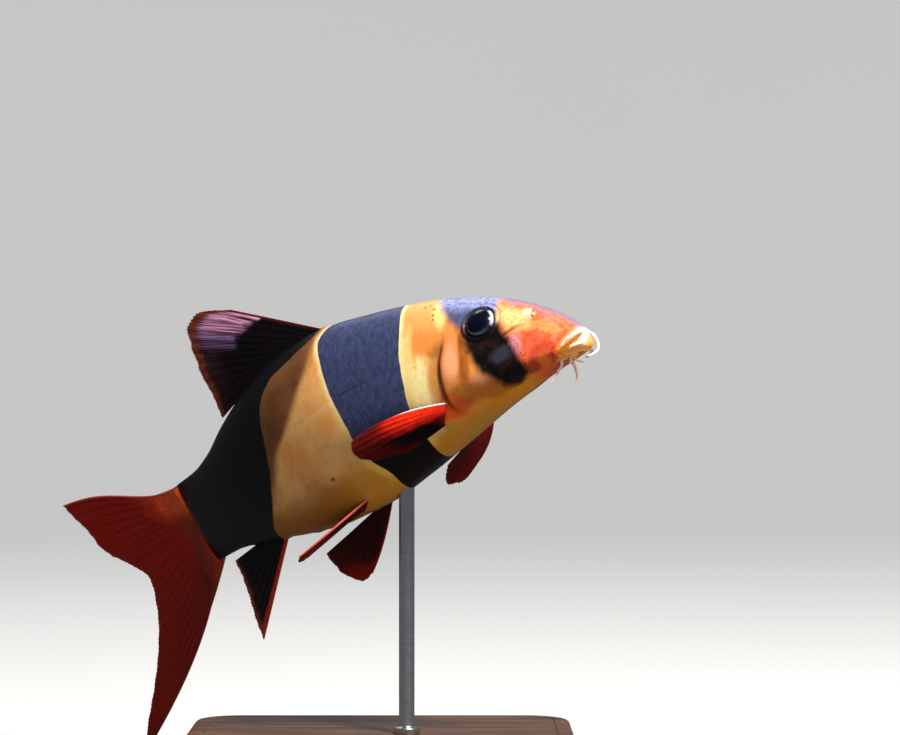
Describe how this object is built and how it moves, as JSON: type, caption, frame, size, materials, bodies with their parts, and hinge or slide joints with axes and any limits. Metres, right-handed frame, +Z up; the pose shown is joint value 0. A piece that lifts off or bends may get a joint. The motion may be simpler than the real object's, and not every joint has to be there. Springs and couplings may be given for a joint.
{
  "type": "clown loach model on a display stand",
  "caption": "Still life-size clown loach with a bent, banked body, banded flanks, spread fins and mouth barbels, held over a flat wooden base by a steel rod, for display and study.",
  "frame": {"origin": "middle of the underside of the stand's base", "axes": "+Z up from the floor; the fish heads towards +X with its right flank towards -Y"},
  "size_m": [0.146, 0.1183, 0.1256],
  "materials": {
    "skin_head": "painted, satin wet sheen",
    "skin_body": "painted, satin wet sheen",
    "eye": "clear gloss",
    "fin_dark": "satin",
    "fin_red": "satin",
    "barbel": "soft satin",
    "stand_wood": "dark stained and waxed",
    "stand_steel": "brushed"
  },
  "bodies": {
    "root": {"head": "skin_head", "trunk_front": "skin_body", "trunk_rear": "skin_body", "tail_stalk": "skin_body", "eye_right": "eye", "eye_left": "eye", "dorsal_fin": "fin_dark", "anal_fin": "fin_dark", "tail_fin_upper": "fin_red", "tail_fin_lower": "fin_red", "pectoral_fin_right": "fin_red", "pectoral_fin_left": "fin_red", "pelvic_fin_right": "fin_red", "pelvic_fin_left": "fin_red", "barbel_rostral_outer_right": "barbel", "barbel_rostral_outer_left": "barbel", "barbel_rostral_inner_right": "barbel", "barbel_rostral_inner_left": "barbel", "barbel_maxillary_right": "barbel", "barbel_maxillary_left": "barbel", "barbel_mandibular_right": "barbel", "barbel_mandibular_left": "barbel", "stand_base": "stand_wood", "stand_rod": "stand_steel"}
  },
  "joints": []
}
